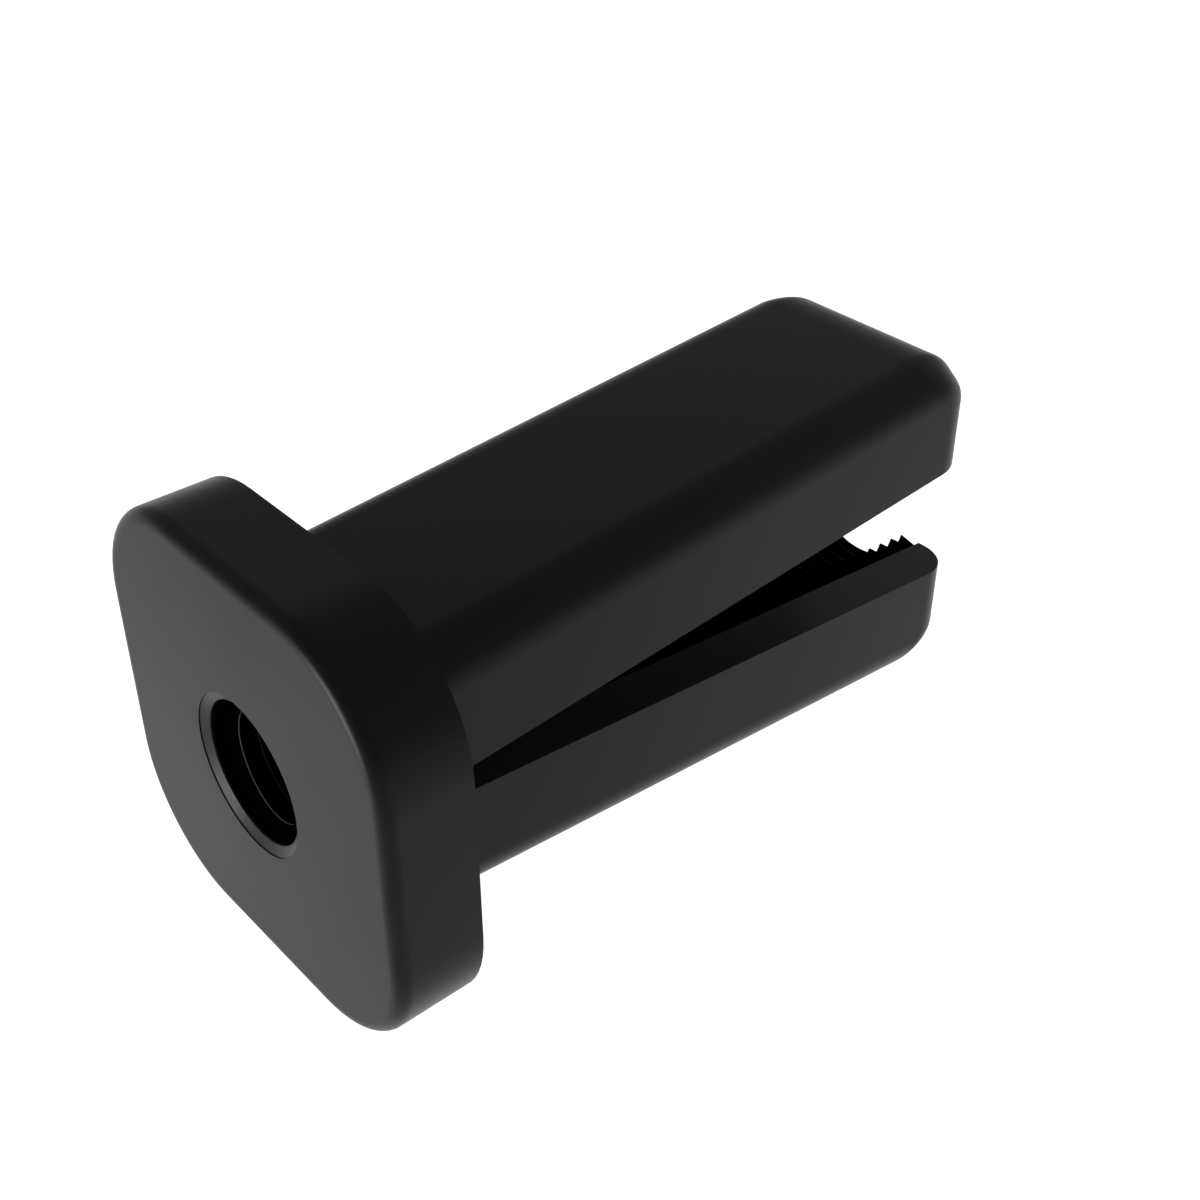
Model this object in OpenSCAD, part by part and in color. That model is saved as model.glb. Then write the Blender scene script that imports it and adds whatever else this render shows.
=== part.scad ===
// Lock nut: a square head with a threaded bore and a square shank, split
// lengthwise into two jaws that stand apart. It is one moulded piece.
// Millimetres. The bore's axis is X, with the shank towards +X; the head's
// seating face is the plane x = 0, and the slot lies level, in z = 0.

/* [Head] */
// Width and height of the square head
head_w = 24; // [21:0.5:30]
// Thickness of the head
head_t = 4.8; // [3:0.1:8]
// Radius of the head's four corners
head_corner_r = 7.2; // [3:0.1:9]
// Rounding of the front face's edge
head_edge_r = 0.75; // [0.3:0.05:1.2]

/* [Shank] */
// Width of the shank, level, and of each jaw
shank_w = 14.45; // [13:0.05:17]
// Length of the shank beyond the seating face
shank_l = 40; // [25:0.5:60]
// Thickness of a jaw, square to its slot face
jaw_t = 7.15; // [6.5:0.05:7.5]
// Angle at which each jaw leans away from the axis
jaw_slope = 4.5; // [2:0.25:5]
// Width of the slot at the seating face
slot_w = 0.97; // [0.6:0.01:1.5]
// Rounding of a jaw's two long outer edges
shank_edge_r = 2.4; // [1.5:0.1:3]

/* [Free end] */
// Rounding of the two upright edges of a jaw's end face
end_side_r = 2.4; // [1.5:0.1:3]
// Rounding of the outer edge of a jaw's end face
end_outer_r = 3.4; // [2:0.1:4]
// Rounding of the outer corners, taken on the section's diagonal
end_corner_r = 4.2; // [3:0.1:5]
// Distance of that rounding's end beyond the end face, along the jaw
end_corner_out = 0.13; // [0:0.01:0.3]

/* [Bore] */
// Diameter of the bore's wall, which is the bottom of the thread
bore_d = 8.8; // [6:0.1:9.6]
// Step outwards from the head's bore to the jaws' half-bores
bore_step = 0.05; // [0.03:0.01:0.2]

/* [Hidden] */
$fn = 64;
tan_s = tan(jaw_slope);
cos_s = cos(jaw_slope);
half_head = head_w / 2;
half_w = shank_w / 2;
half_slot = slot_w / 2;
bar_l = shank_l / cos_s + jaw_t;   // jaw before its end is trimmed
root = 1.5;                        // length of a jaw inside the head
far = 20;                          // how far cutting bodies reach past the surface

// Height of the jaw's outer face above the axis at x.
function outer_z(x) = half_slot + jaw_t / cos_s + x * tan_s;

// Half of the head's section: x is the distance out from the middle, y the
// distance from the seating face towards the front.
module rim_profile(width) {
    union() {
        square([width, head_t - head_edge_r]);
        square([width - head_edge_r, head_t]);
        translate([width - head_edge_r, head_t - head_edge_r])
            circle(r = head_edge_r);
    }
}

// A bar of the rim's section across the head, `length` long in Y.
module head_bar(length) {
    translate([0, length / 2, 0])
        rotate([90, 0, 0])
            linear_extrude(height = length)
                union() {
                    rim_profile(half_head);
                    mirror([1, 0]) rim_profile(half_head);
                }
}

// Head with its front face at z = head_t, then turned so that it faces -X.
module head() {
    c = half_head - head_corner_r;
    rotate([0, -90, 0])
        union() {
            for (sx = [-1, 1], sy = [-1, 1])
                translate([sx * c, sy * c, 0])
                    rotate_extrude()
                        rim_profile(head_corner_r);
            head_bar(2 * c);
            rotate([0, 0, 90]) head_bar(2 * c);
        }
}

// Section of a jaw, y across and z outwards, drawn as (z, y).
module jaw_section() {
    d = half_w - shank_edge_r;
    union() {
        translate([0, -half_w]) square([jaw_t - shank_edge_r, shank_w]);
        translate([0, -d]) square([jaw_t, 2 * d]);
        for (s = [-1, 1])
            translate([jaw_t - shank_edge_r, s * d])
                circle(r = shank_edge_r);
    }
}

// What the diagonal rounding takes from one outer corner, in the jaw's frame.
module corner_trim() {
    diag_out = (half_w + jaw_t - 2 * shank_edge_r) / sqrt(2) + shank_edge_r;
    x_end = (shank_l + jaw_t * sin(jaw_slope)) / cos_s + end_corner_out;
    xc = x_end - end_corner_r;
    rotate([-45, 0, 0])
        translate([xc, 0, diag_out - end_corner_r])
            rotate([90, 0, 0])
                translate([0, 0, -far])
                    linear_extrude(height = 2 * far)
                        difference() {
                            square([far, far]);
                            circle(r = end_corner_r);
                        }
}

// A jaw in its own frame: its slot face is z = 0 and it runs along X. Its
// half-bore's axis leans with it and starts on the head's axis, half a slot out.
module jaw_bar() {
    difference() {
        translate([-root, 0, 0])
            rotate([0, 90, 0])
                mirror([1, 0, 0])
                    linear_extrude(height = bar_l + root)
                        jaw_section();
        corner_trim();
        mirror([0, 1, 0]) corner_trim();
        translate([-root - 1, 0, -half_slot * cos_s])
            rotate([0, 90, 0])
                cylinder(h = bar_l + root + 2, d = bore_d + 2 * bore_step);
    }
}

// What the end face and its roundings take from the upper jaw.
module end_trim() {
    xs = shank_l - end_side_r;
    xo = shank_l - end_outer_r;
    zo = outer_z(xo) - end_outer_r / cos_s;
    translate([shank_l, -far, -far]) cube([far, 2 * far, 2 * far]);
    for (s = [0, 1])
        mirror([0, s, 0])
            translate([xs, half_w - end_side_r, -far])
                linear_extrude(height = 2 * far)
                    difference() {
                        square([far, far]);
                        circle(r = end_side_r);
                    }
    translate([xo, far, zo])
        rotate([90, 0, 0])
            linear_extrude(height = 2 * far)
                difference() {
                    polygon([[0, 0], [far, 0], [far, far], [-far * sin(jaw_slope), far * cos_s]]);
                    circle(r = end_outer_r);
                }
}

module upper_jaw() {
    difference() {
        translate([0, 0, half_slot])
            rotate([0, -jaw_slope, 0])
                jaw_bar();
        end_trim();
    }
}

// Straight bore through the head. The jaws' half-bores carry it on.
module head_bore() {
    rotate([0, -90, 0])
        cylinder(h = head_t + 1, d = bore_d);
}

module nut_body() {
    color([0.035, 0.035, 0.037])
        difference() {
            union() {
                head();
                upper_jaw();
                mirror([0, 0, 1]) upper_jaw();
            }
            head_bore();
        }
}

nut_body();
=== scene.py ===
"""Lock nut: a square head, a threaded bore and a square shank split into two leaning jaws.

The bore's axis is X, with the shank towards +X, and +Z is up. Sizes are in millimetres, and each mesh is
scaled to metres when it is made. Lights and camera are set in metres.
"""
import math

import bmesh
import bpy
import numpy as np
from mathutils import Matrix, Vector


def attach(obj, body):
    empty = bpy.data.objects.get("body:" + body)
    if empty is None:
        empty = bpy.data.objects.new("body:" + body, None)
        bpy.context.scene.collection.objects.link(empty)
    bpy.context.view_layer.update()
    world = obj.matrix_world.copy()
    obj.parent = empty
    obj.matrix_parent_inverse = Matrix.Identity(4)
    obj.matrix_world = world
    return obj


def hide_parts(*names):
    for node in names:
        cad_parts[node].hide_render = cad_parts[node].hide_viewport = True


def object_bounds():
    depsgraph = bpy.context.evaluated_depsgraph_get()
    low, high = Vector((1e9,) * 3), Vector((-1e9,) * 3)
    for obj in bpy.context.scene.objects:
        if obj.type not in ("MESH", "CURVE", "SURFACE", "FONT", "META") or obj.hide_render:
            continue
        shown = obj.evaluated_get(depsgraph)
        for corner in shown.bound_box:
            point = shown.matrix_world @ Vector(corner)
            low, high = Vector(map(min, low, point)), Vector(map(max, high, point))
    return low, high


MM = 0.001

# Distances in metres below which two points are joined, and an edge counts as having no length.
SAME_POINT = 2e-7
NO_LENGTH = 1e-7

# Head, shank and bore, as in the part's source.
HEAD_W = 24.0
HEAD_T = 4.8
HEAD_CORNER_R = 7.2
HEAD_EDGE_R = 0.75
SHANK_W = 14.45
SHANK_L = 40.0
JAW_T = 7.15
JAW_SLOPE = math.radians(4.5)
SLOT_W = 0.97
LONG_EDGE_R = 2.4
BORE_R = 4.4
BORE_STEP = 0.05

# The rounding of a jaw's free end: how far it reaches in over the end face and back along the jaw, from the
# sides and from the outer face. At the outer corners it goes further back, and turns in by a share of its
# reach.
END_SIDE_IN = 2.4
END_SIDE_BACK = 2.4
END_OUTER_IN = 3.1
END_OUTER_BACK = 4.2
END_CORNER_MORE = 0.4
END_CORNER_IN = 0.1

# How far a jaw's mesh reaches into the head.
JAW_ROOT = 1.0

# The thread: right-handed, with a rounded crest and its steep flank towards the free end. The flank's and the
# root's widths are shares of the pitch.
PITCH = 1.03
CREST_R = 3.09
CREST_ROUND = 0.09
STEEP_FLANK = 0.14
ROOT_FLAT = 0.06

# In the head: the first crest's distance from the front face, the length of the cone that cuts the thread's
# first turn, and how far the thread starts above the foot of the mouth's wall.
FIRST_CREST = 1.45
LEAD_IN = 0.45
START_OVERLAP = 0.02

# The strip along a crest whose faces get a painted highlight: its half width as a share of the crest's
# rounding, and how far it may lie below the crest.
HIGHLIGHT_WIDTH = 0.6
HIGHLIGHT_DEPTH = 0.06

# How far a thread's back lies behind the bore's wall, and its cut faces inside the slot's face.
BACK_DEPTH = 0.02
CUT_INSET = 0.01

# The mouth: a short straight rim, a nearly flat step, the step's rounded inner edge, and then the wall, which
# goes straight in and out to the bore again under the step.
RIM_DEPTH = 0.07
STEP_R = 3.92
STEP_DEPTH = 0.32
STEP_ROUND = 0.1
STEP_WALL = 0.1
STEP_UNDER = 0.12

# In a jaw: where the thread starts, a length past its end, and the last crest. The thread's end is cut
# aslant: END is the crest's last x, and SLANT how fast that falls back towards the root. NEAR and FAR are the
# lower jaw's slot edges as the photograph shows them, and the upper jaw's are the other way round.
JAW_THREAD_START = 0.3
JAW_THREAD_STOP = 40.6
LAST_CREST = 39.07
END_NEAR = 39.93
END_FAR = 40.0
SLANT_NEAR = 0.27
SLANT_FAR = 0.0

HALF_SLOT = SLOT_W / 2 * math.cos(JAW_SLOPE)

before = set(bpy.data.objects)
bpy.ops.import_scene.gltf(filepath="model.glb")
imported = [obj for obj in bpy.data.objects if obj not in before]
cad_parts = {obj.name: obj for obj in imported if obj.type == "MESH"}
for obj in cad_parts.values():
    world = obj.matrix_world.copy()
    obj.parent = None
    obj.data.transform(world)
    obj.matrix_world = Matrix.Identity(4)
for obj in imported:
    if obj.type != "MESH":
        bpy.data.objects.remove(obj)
cad_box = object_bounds()


# Meshes

def smooth_piece(name, shell, sharp_angle):
    """A mesh object from a shell in millimetres, smooth apart from edges sharper than sharp_angle."""
    mesh = bpy.data.meshes.new(name)
    mesh.from_pydata([tuple(p) for p in np.asarray(shell.points) * MM], [], shell.faces)
    mesh.polygons.foreach_set("material_index", shell.slots)
    mesh.validate()
    work = bmesh.new()
    work.from_mesh(mesh)
    bmesh.ops.remove_doubles(work, verts=work.verts, dist=SAME_POINT)
    bmesh.ops.dissolve_degenerate(work, edges=work.edges, dist=NO_LENGTH)
    bmesh.ops.recalc_face_normals(work, faces=work.faces)
    for edge in work.edges:
        if len(edge.link_faces) == 2 and edge.calc_face_angle(0.0) > sharp_angle:
            edge.smooth = False
    work.to_mesh(mesh)
    work.free()
    mesh.polygons.foreach_set("use_smooth", [True] * len(mesh.polygons))
    piece = bpy.data.objects.new(name, mesh)
    bpy.context.scene.collection.objects.link(piece)
    return piece


class Shell:
    """Collects grids of points into one mesh."""

    def __init__(self):
        self.points = []
        self.faces = []
        self.slots = []

    def grid(self, rows, closed=False, slots=None):
        """Joins neighbouring rows of points with quads.

        closed joins each row's end to its start as well. slots gives the material slot of each strip of
        quads, or of each quad; without it they are all 0.
        """
        rows = np.asarray(rows, float)
        n, m = rows.shape[:2]
        across = m if closed else m - 1
        slots = np.zeros((n - 1, 1)) if slots is None else np.asarray(slots).reshape(n - 1, -1)
        self.slots.extend(int(v) for v in np.broadcast_to(slots, (n - 1, across)).ravel())
        start = len(self.points)
        self.points.extend(rows.reshape(-1, 3))
        for i in range(n - 1):
            here = start + i * m
            beyond = here + m
            for j in range(across):
                k = (j + 1) % m
                self.faces.append((here + j, here + k, beyond + k, beyond + j))


def jaw_outline():
    """A jaw's section, from one slot edge over the top to the other, with its points as (y, z').

    outer is the section's edge. turned_in is the edge that the end's rounding tends to as it nears the end
    face, and inner is where it meets that face. back is how far it reaches back along the jaw at each point.
    """
    w = SHANK_W / 2
    side_z = np.array([0.0, 0.06, 0.5, 1.6, 2.7, JAW_T - END_OUTER_IN - 0.4])
    side = np.stack([np.full(len(side_z), w), side_z], 1)
    t = np.linspace(0.0, math.pi / 2, 31)
    centre = np.array([w - END_SIDE_IN, JAW_T - END_OUTER_IN])
    spoke = np.stack([END_SIDE_IN * np.cos(t), END_OUTER_IN * np.sin(t)], 1)
    diagonal = np.sin(2 * t) ** 2
    corner = centre + spoke * (1 - END_CORNER_IN * diagonal)[:, None]
    top_y = np.linspace(w - END_SIDE_IN - 0.2, 0.0, 9)
    top = np.stack([top_y, np.full(len(top_y), JAW_T)], 1)

    # Each spoke is stretched to the outer edge: the arc of the long edge's rounding, or the side below it.
    lift = END_OUTER_IN - LONG_EDGE_R
    square = (spoke ** 2).sum(1)
    reach = spoke[:, 1] * lift
    stretch = (reach + np.sqrt(reach ** 2 + square * (LONG_EDGE_R ** 2 - lift ** 2))) / square
    below = spoke[:, 1] * stretch < lift
    stretch = np.where(below, (w - centre[0]) / np.maximum(spoke[:, 0], 1e-9), stretch)
    edge = centre + spoke * stretch[:, None]

    outer = np.concatenate([side, edge, top])
    turned_in = np.concatenate([side, corner, top])
    inner = np.concatenate([side - [END_SIDE_IN, 0], np.tile(centre, (len(t), 1)), top - [0, END_OUTER_IN]])
    back = END_SIDE_BACK + (END_OUTER_BACK - END_SIDE_BACK) * np.sin(t) ** 2 + END_CORNER_MORE * diagonal
    back = np.r_[np.full(len(side), END_SIDE_BACK), back, np.full(len(top), END_OUTER_BACK)]
    whole = [np.concatenate([half, (half * [-1, 1])[-2::-1]]) for half in (outer, turned_in, inner)]
    return (*whole, np.r_[back, back[-2::-1]])


def side_depth(y):
    """How far the end's side rounding lies behind the end face at y."""
    reach = np.clip((np.abs(y) - SHANK_W / 2 + END_SIDE_IN) / END_SIDE_IN, 0, 1)
    return END_SIDE_BACK * (1 - np.sqrt(1 - reach ** 2))


def jaw_point(x, y, z, sign):
    """A point of a jaw's section at x, in the part's frame; z is z', measured square to the slot face."""
    height = SLOT_W / 2 + z / math.cos(JAW_SLOPE) + x * math.tan(JAW_SLOPE)
    return np.stack([x + 0 * y, y + 0 * x, sign * height], -1)


def half_bore(r, share):
    """Points (y, z') of a jaw's half-bore at radius r; share is 0 at one slot edge and 1 at the other."""
    lip = np.arcsin(HALF_SLOT / r)
    a = lip + share * (math.pi - 2 * lip)
    return np.stack([r * np.cos(a), r * np.sin(a) - HALF_SLOT], -1)


def jaw(shell, sign):
    """Adds a jaw with its half-bore: the upper one where sign is 1, the lower one where it is -1."""
    outer, turned_in, inner, back = jaw_outline()
    angle = np.arctan2(outer[:, 1], outer[:, 0])
    wall = half_bore(BORE_R + BORE_STEP, angle / math.pi)
    lengths = np.r_[0.0, 0.0251, np.linspace(0.1, 0.98, 14), 0.995, 1.0]
    turns = np.linspace(0.0, math.pi / 2, 25)

    def at(section, x):
        return jaw_point(x, section[:, 0], section[:, 1], sign)

    def along(section, end_x):
        shell.grid([at(section, -JAW_ROOT + (end_x + JAW_ROOT) * s) for s in lengths])

    # Long faces, the end's rounding and the end face.
    along(outer, SHANK_L - back)
    rows = []
    for a in turns:
        edge = outer + (turned_in - outer) * math.sin(a)
        rows.append(at(inner + (edge - inner) * math.cos(a), SHANK_L - back * (1 - math.sin(a))))
    shell.grid(rows)
    shell.grid([at(inner + (wall - inner) * t, SHANK_L) for t in (0.0, 0.03, 0.25, 0.6, 1.0)])

    # Half-bore, the hidden root face, and the slot face on either side of the half-bore.
    shell.grid([at(wall, x) for x in np.linspace(-JAW_ROOT, SHANK_L, 12)])
    shell.grid([at(outer, -JAW_ROOT), at(wall, -JAW_ROOT)])
    for k in (0, -1):
        rounded = [inner[k] + (outer[k] - inner[k]) * math.cos(a) for a in turns[::-1]]
        across = np.array([wall[k], (wall[k] + inner[k]) / 2] + rounded)
        along(across, SHANK_L - side_depth(across[:, 0]))


def head_outline():
    """Edge of the head and its outward normals, as (y, z), with points close to each corner's ends."""
    c = HEAD_W / 2 - HEAD_CORNER_R
    a = np.linspace(0, math.pi / 2, 17)
    round_corner = np.stack([np.cos(a), np.sin(a)], 1)
    flat = np.array([[HEAD_W / 2, z] for z in (-c * 0.6, -c * 0.1, c * 0.4, c * 0.9)])
    quarter = np.concatenate([flat, c + HEAD_CORNER_R * round_corner, [[c * 0.93, HEAD_W / 2]]])
    quarter_normal = np.concatenate([np.tile([1.0, 0.0], (len(flat), 1)), round_corner, [[0.0, 1.0]]])
    points, normals = [], []
    for turn in np.arange(4) * math.pi / 2:
        turned = np.array([[math.cos(turn), math.sin(turn)], [-math.sin(turn), math.cos(turn)]])
        points.append(quarter @ turned)
        normals.append(quarter_normal @ turned)
    return np.concatenate(points), np.concatenate(normals)


def head(shell):
    """Adds the head: the seating face, the outside, the front face, the mouth and the bore's wall."""
    outline, normal = head_outline()
    angle = np.arctan2(outline[:, 1], outline[:, 0])
    ray = np.stack([np.cos(angle), np.sin(angle)], 1)

    def at(section, x):
        return np.column_stack([np.full(len(section), x), section])

    bore = ray * BORE_R
    rows = [at(bore, 0.0)]
    for t in (0.2, 0.6, 1.0):
        rows.append(at(bore + (outline - bore) * t, 0.0))
    for x in (-0.05, -1.5, -3.0, -HEAD_T + HEAD_EDGE_R + 0.05):
        rows.append(at(outline, x))
    for a in np.linspace(0, math.pi / 2, 10):
        d = HEAD_EDGE_R * (1 - math.cos(a))
        rows.append(at(outline - normal * d, -HEAD_T + HEAD_EDGE_R * (1 - math.sin(a))))
    inner = outline - normal * HEAD_EDGE_R
    for t in (0.02, 0.3, 0.65, 1.0):
        rows.append(at(inner + (bore - inner) * t, -HEAD_T))
    step = len(rows) + 1
    for r, depth in mouth_profile():
        rows.append(at(ray * r, -HEAD_T + depth))
    rows.append(at(bore, 0.0))

    # The mouth's flat step and the start of its rounding have slot 1.
    shell.grid(rows, closed=True, slots=[step <= i < step + 4 for i in range(len(rows) - 1)])


def mouth_profile():
    """The mouth's rim, step, rounded inner edge and wall, as pairs of radius and depth."""
    width = BORE_R - STEP_R
    fall = STEP_DEPTH - RIM_DEPTH
    tilt = math.atan(fall / width)
    step = [(BORE_R - width * t, RIM_DEPTH + fall * t) for t in (0.0, 0.05, 0.95)]
    rounding = []
    for a in np.linspace(tilt, math.radians(80), 9):
        r = STEP_R - STEP_ROUND * (math.sin(a) - math.sin(tilt))
        rounding.append((r, STEP_DEPTH + STEP_ROUND * (math.cos(tilt) - math.cos(a))))
    r, depth = rounding[-1]
    return step + rounding + [(r, depth + STEP_WALL), (BORE_R, depth + STEP_UNDER)]


def thread_profile():
    """One turn of the thread as pairs of phase and radius, with the crest at 0 and the free end towards +."""
    half_width = CREST_ROUND / PITCH
    crest = []
    for k in range(-3, 4):
        drop = CREST_ROUND * (1 - math.sqrt(1 - (k / 3.2) ** 2))
        crest.append((k * half_width / 3, CREST_R + drop))
    return crest + [(STEEP_FLANK, BORE_R), (STEEP_FLANK + ROOT_FLAT, BORE_R)]


def profile_radius(phase):
    """Radius of the thread's surface at a phase."""
    knots = thread_profile()
    knots = knots + [(knots[0][0] + 1.0, knots[0][1])]
    wrapped = (phase - knots[0][0]) % 1.0 + knots[0][0]
    return np.interp(wrapped, [k[0] for k in knots], [k[1] for k in knots])


def thread_sleeve(name, start, stop, crest_at, place, furthest, steps, closed, lead_in=None):
    """Thread between start and stop along its axis, with a crest at crest_at where share is 0.

    place takes x, the radius and the share of the way round, from 0 to 1, and gives the points. furthest
    gives the thread's last x for a radius and a share. A closed thread goes all the way round, any other one
    half of it. lead_in is the length of the cone that cuts the first turn. The strip along the crest, which
    gets a painted highlight, has slot 1 up to half a turn past crest_at, and slot 2 beyond.
    """
    share = np.linspace(0, 1, steps + 1)
    sweep = share * (1.0 if closed else 0.5)
    cone_r = STEP_R - STEP_ROUND

    def radius_at(x):
        r = profile_radius((x - crest_at) / PITCH - sweep)
        if lead_in:
            r = np.maximum(r, cone_r - (cone_r - CREST_R) * (x - start) / lead_in)
        return r

    rows, strips = [], []
    for turn in range(int((start - crest_at) / PITCH) - 3, int((stop - crest_at) / PITCH) + 3):
        for phase, _ in thread_profile():
            ideal = np.clip(crest_at + PITCH * (turn + phase + sweep), start, stop)

            # Where the thread is cut off, the radius depends on x and x on the radius.
            x = ideal
            for _ in range(4):
                x = np.minimum(ideal, furthest(radius_at(x), share))
            r = radius_at(x)
            rows.append(place(x, r, share))
            # Faces on the crest's strip get a painted highlight: slot 1 for the first half turn past
            # crest_at, slot 2 beyond.
            highlit_faces = (abs(phase) * PITCH < CREST_ROUND * HIGHLIGHT_WIDTH) & (r < CREST_R + HIGHLIGHT_DEPTH)
            strips.append(highlit_faces * np.where(x < crest_at + PITCH / 2, 1, 2))
    strips = np.array(strips)
    shell = Shell()
    shell.grid(rows, slots=np.minimum(strips[:-1], strips[1:])[:, :-1])

    # The back, both ends, and the cut faces of a thread that goes half the way round.
    back_r = np.full(len(share), BORE_R + (BACK_DEPTH if closed else BORE_STEP + BACK_DEPTH))
    first = place(np.full(len(share), start), back_r, share)
    last = place(np.minimum(stop, furthest(back_r, share)), back_r, share)
    shell.grid([rows[0], first])
    shell.grid([rows[-1], last])
    shell.grid([first, last])
    if not closed:
        for k in (0, -1):
            inner = np.array([row[k] for row in rows])
            reach = np.clip((inner[:, 0] - first[k][0]) / (last[k][0] - first[k][0]), 0, 1)[:, None]
            shell.grid([inner, first[k] * (1 - reach) + last[k] * reach])
    return smooth_piece(name, shell, sharp_angle=math.radians(35))


def in_head(x, r, share):
    """Points of the thread in the head, which goes all the way round."""
    a = 2 * math.pi * share
    return np.stack([x, r * np.cos(a), r * np.sin(a)], -1)


def head_end(r, share):
    """The head's thread ends at the seating face."""
    return np.zeros_like(r * share)


def in_jaw(sign):
    """Points of the thread in a jaw's half-bore, with x along the jaw from the seating face."""
    def place(x, r, share):
        y, z = np.moveaxis(half_bore(r, share), -1, 0)
        z = np.maximum(z, CUT_INSET)
        height = SLOT_W / 2 + x * math.sin(JAW_SLOPE) + z * math.cos(JAW_SLOPE)
        return np.stack([x * math.cos(JAW_SLOPE) - z * math.sin(JAW_SLOPE), sign * y, sign * height], -1)
    return place


def jaw_end(r, share):
    """Furthest x along a jaw that keeps a thread's point behind its slanted end."""
    z = np.maximum(half_bore(r, share)[..., 1], CUT_INSET)
    slant = SLANT_NEAR + (SLANT_FAR - SLANT_NEAR) * share
    limit = END_NEAR + (END_FAR - END_NEAR) * share - slant * (r - CREST_R)
    return (limit + z * math.sin(JAW_SLOPE)) / math.cos(JAW_SLOPE)


body = Shell()
head(body)
jaw(body, 1)
jaw(body, -1)
moulding = smooth_piece("nut_moulding", body, sharp_angle=math.radians(30))
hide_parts("nut_body")

wall_foot = mouth_profile()[-2][1]
thread_head = thread_sleeve("thread_head", -HEAD_T + wall_foot - START_OVERLAP, 0.0, -HEAD_T + FIRST_CREST,
                            in_head, head_end, steps=96, closed=True, lead_in=LEAD_IN)
thread_upper = thread_sleeve("thread_upper", JAW_THREAD_START, JAW_THREAD_STOP, LAST_CREST - PITCH / 2,
                             in_jaw(1), jaw_end, steps=44, closed=False)
thread_lower = thread_sleeve("thread_lower", JAW_THREAD_START, JAW_THREAD_STOP, LAST_CREST,
                             in_jaw(-1), jaw_end, steps=44, closed=False)
for piece in (moulding, thread_head, thread_upper, thread_lower):
    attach(piece, "root")


# Materials

class Value:
    """A node's output socket, whose arithmetic adds Math nodes."""

    def __init__(self, nodes, socket):
        self.nodes = nodes
        self.socket = socket

    def math(self, operation, *inputs):
        return self.nodes.add("ShaderNodeMath", {"operation": operation}, *inputs)

    def __add__(self, other):
        return self.math("ADD", self, other)

    def __sub__(self, other):
        return self.math("SUBTRACT", self, other)

    def __rsub__(self, other):
        return self.math("SUBTRACT", other, self)

    def __mul__(self, other):
        return self.math("MULTIPLY", self, other)

    __radd__ = __add__
    __rmul__ = __mul__


class Material:
    """A material whose nodes are added one call at a time."""

    def __init__(self, name):
        self.material = bpy.data.materials.new(name)
        self.material.use_nodes = True
        self.tree = self.material.node_tree
        self.tree.nodes.clear()
        self.out = self.tree.nodes.new("ShaderNodeOutputMaterial")

    def add(self, kind, settings, *inputs, output=0, **named):
        """Adds a node with its settings, then its sockets' values or links by order or by name."""
        node = self.tree.nodes.new(kind)
        for key, value in settings.items():
            setattr(node, key, value)
        by_name = [(key.replace("_", " "), value) for key, value in named.items()]
        for key, value in list(enumerate(inputs)) + by_name:
            if isinstance(value, Value):
                self.tree.links.new(value.socket, node.inputs[key])
            elif value is not None:
                node.inputs[key].default_value = value
        return Value(self, node.outputs[output])

    def finish(self, surface):
        self.tree.links.new(surface.socket, self.out.inputs["Surface"])
        return self.material


def paint(piece, *materials):
    """Gives a piece its materials, and keeps the slot of each face."""
    slots = [face.material_index for face in piece.data.polygons]
    piece.data.materials.clear()
    for material in materials:
        piece.data.materials.append(material)
    piece.data.polygons.foreach_set("material_index", slots)


GRAIN_SCALE = 9000.0
GRAIN_DEPTH = 0.00002
UNEVEN_SCALE = 160.0
UNEVEN_ROUGHNESS = 0.06


def moulded_plastic(name, tone, roughness, shine, grain=0.0):
    """Moulded plastic: a fine spark-eroded grain, and a slow unevenness in its tone and its gloss.

    tone is its colour, shine the strength of its reflections, and grain the strength of its surface grain.
    """
    m = Material(name)
    place = m.add("ShaderNodeTexCoord", {}, output="Object")
    fine = m.add("ShaderNodeTexNoise", {}, Vector=place, Scale=GRAIN_SCALE, Detail=3.0, Roughness=0.6)
    slow = m.add("ShaderNodeTexNoise", {}, Vector=place, Scale=UNEVEN_SCALE, Detail=2.0, Roughness=0.5)
    bump = m.add("ShaderNodeBump", {}, Strength=grain, Distance=GRAIN_DEPTH, Height=fine)
    darker, lighter = [(*[c * share for c in tone], 1.0) for share in (0.92, 1.08)]
    colour = m.add("ShaderNodeMix", {"data_type": "RGBA"}, slow, *[None] * 5, darker, lighter, output=2)
    uneven = roughness + (slow - 0.5) * UNEVEN_ROUGHNESS
    return m.finish(m.add("ShaderNodeBsdfPrincipled", {}, Base_Color=colour, Roughness=uneven,
                          Specular_IOR_Level=shine, Normal=bump))


satin = moulded_plastic("satin black plastic", (0.0028, 0.0028, 0.0029), 0.35, 0.09, grain=0.15)
polished = moulded_plastic("polished mouth edge", (0.0028, 0.0028, 0.0029), 0.36, 0.19)
# The threads are painted shade: a near-black plastic with no reflection stands for the darkness inside the
# bore and on the threads' cut faces in the slot.
shaded = moulded_plastic("shaded thread plastic", (0.0004, 0.0004, 0.0004), 0.6, 0.0)
# Painted highlights on the threads' crests: a light, glossy tone on the head's first turn, a dimmer one
# beyond it, and a faint one in the jaws.
painted_highlight = moulded_plastic("burnished thread crest", (0.12, 0.12, 0.12), 0.3, 1.0)
dimmer_painted_highlight = moulded_plastic("dull thread crest", (0.02, 0.02, 0.02), 0.36, 0.35)
faint_painted_highlight = moulded_plastic("faint thread crest", (0.0015, 0.0015, 0.0015), 0.4, 0.025)
paint(moulding, satin, polished)
paint(thread_head, shaded, painted_highlight, dimmer_painted_highlight)
paint(thread_upper, shaded, faint_painted_highlight, faint_painted_highlight)
paint(thread_lower, shaded, faint_painted_highlight, faint_painted_highlight)


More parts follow.
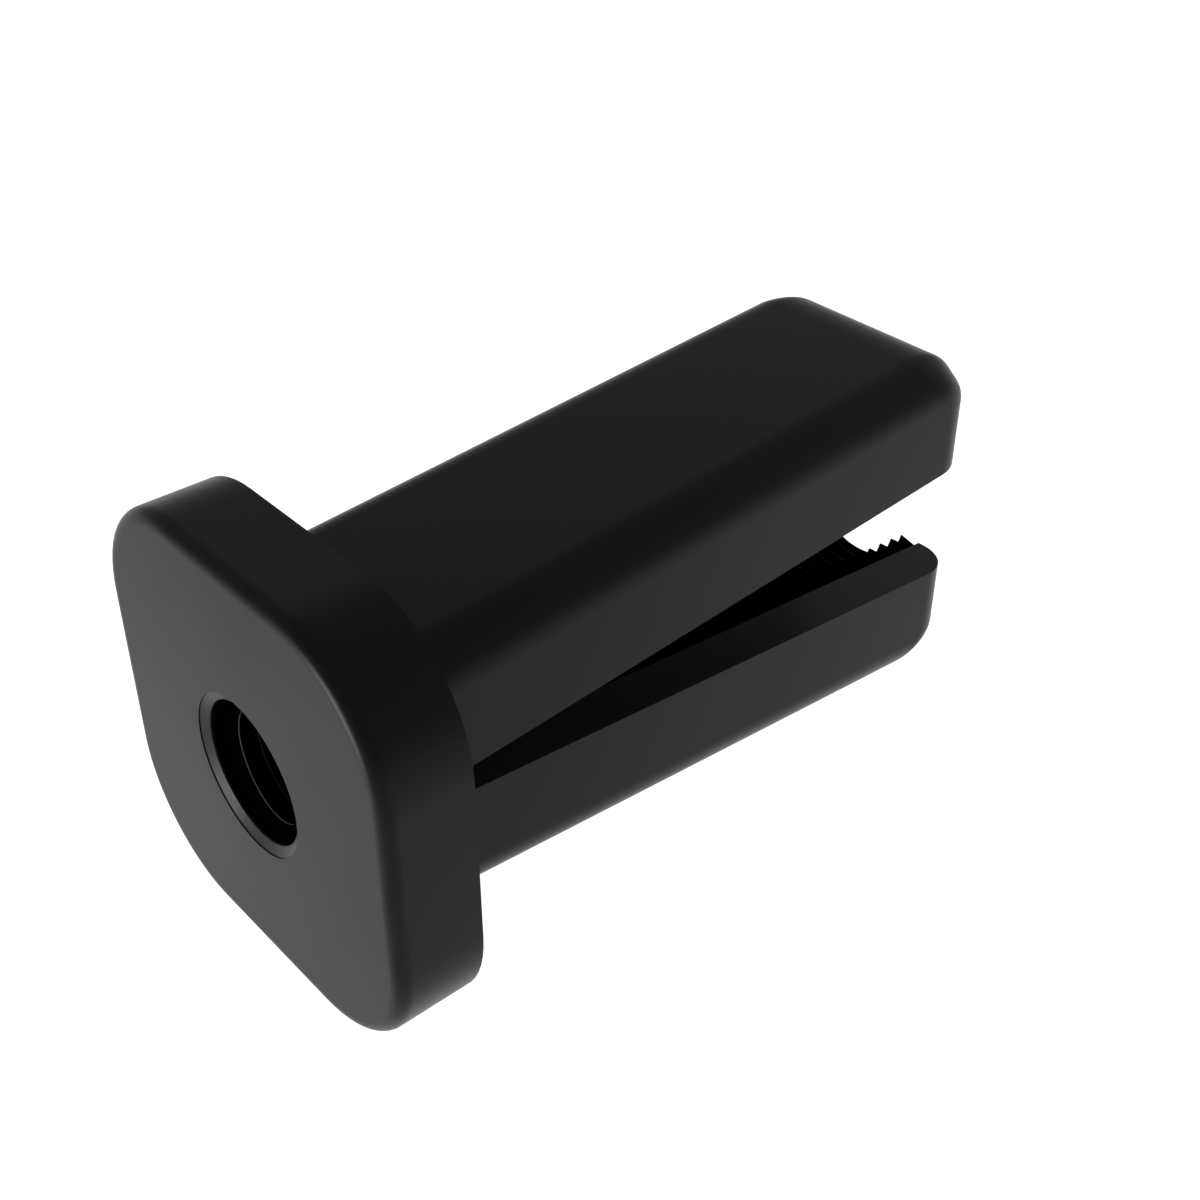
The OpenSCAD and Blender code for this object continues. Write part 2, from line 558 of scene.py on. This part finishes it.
# Stage, light and camera

WHITE = (1.0, 1.0, 1.0, 1.0)
FLOOR_TONE = (0.3, 0.3, 0.3, 1.0)
WORLD_STRENGTH = 0.51

floor_z = cad_box[0][2]
bpy.ops.mesh.primitive_plane_add(size=4.0, location=(0, 0, floor_z))
floor = bpy.context.object
floor.name = "floor"
pale = Material("pale floor")
matt = pale.add("ShaderNodeBsdfPrincipled", {}, Base_Color=FLOOR_TONE, Roughness=1.0,
                Specular_IOR_Level=0.0, Emission_Color=WHITE, Emission_Strength=1.0)
paint(floor, pale.finish(matt))

world = bpy.data.worlds.new("studio")
bpy.context.scene.world = world
world.use_nodes = True
background = world.node_tree.nodes["Background"]
background.inputs["Color"].default_value = WHITE
background.inputs["Strength"].default_value = WORLD_STRENGTH


def soft_light(name, place, target, size, power, reflected=False):
    """A round light at place, turned to target. reflected lets it show in the plastic's gloss."""
    data = bpy.data.lights.new(name, "AREA")
    data.shape = "DISK"
    data.size = size
    data.energy = power
    light = bpy.data.objects.new(name, data)
    light.location = place
    light.rotation_euler = (Vector(target) - Vector(place)).to_track_quat("-Z", "Y").to_euler()
    light.visible_glossy = reflected
    light.visible_camera = False
    bpy.context.scene.collection.objects.link(light)


soft_light("right light", (0.045, -0.06, 0.05), (0.045, -0.06, -0.012), size=0.03, power=0.07)
soft_light("low front light", (-0.036, 0.005, -0.002), (-0.005, -0.008, 0.003), size=0.018, power=0.011,
           reflected=True)

# The photograph's viewing angle, in radians: down by DOWNWARD, and turned by HEADING from the bore's axis.
DOWNWARD = 0.6116
HEADING = 0.8544
CAMERA_PLACE = (-0.031788, -0.056785, 0.052783)

camera_data = bpy.data.cameras.new("camera")
camera_data.lens = 50.0
camera_data.sensor_width = 36.0
camera_data.clip_start = 0.005
camera_data.clip_end = 20.0
camera = bpy.data.objects.new("camera", camera_data)
level = math.cos(DOWNWARD)
look = Vector((level * math.cos(HEADING), level * math.sin(HEADING), -math.sin(DOWNWARD)))
camera.location = CAMERA_PLACE
camera.rotation_euler = look.to_track_quat("-Z", "Y").to_euler()
bpy.context.scene.collection.objects.link(camera)
bpy.context.scene.camera = camera
bpy.context.scene.view_settings.view_transform = "Standard"
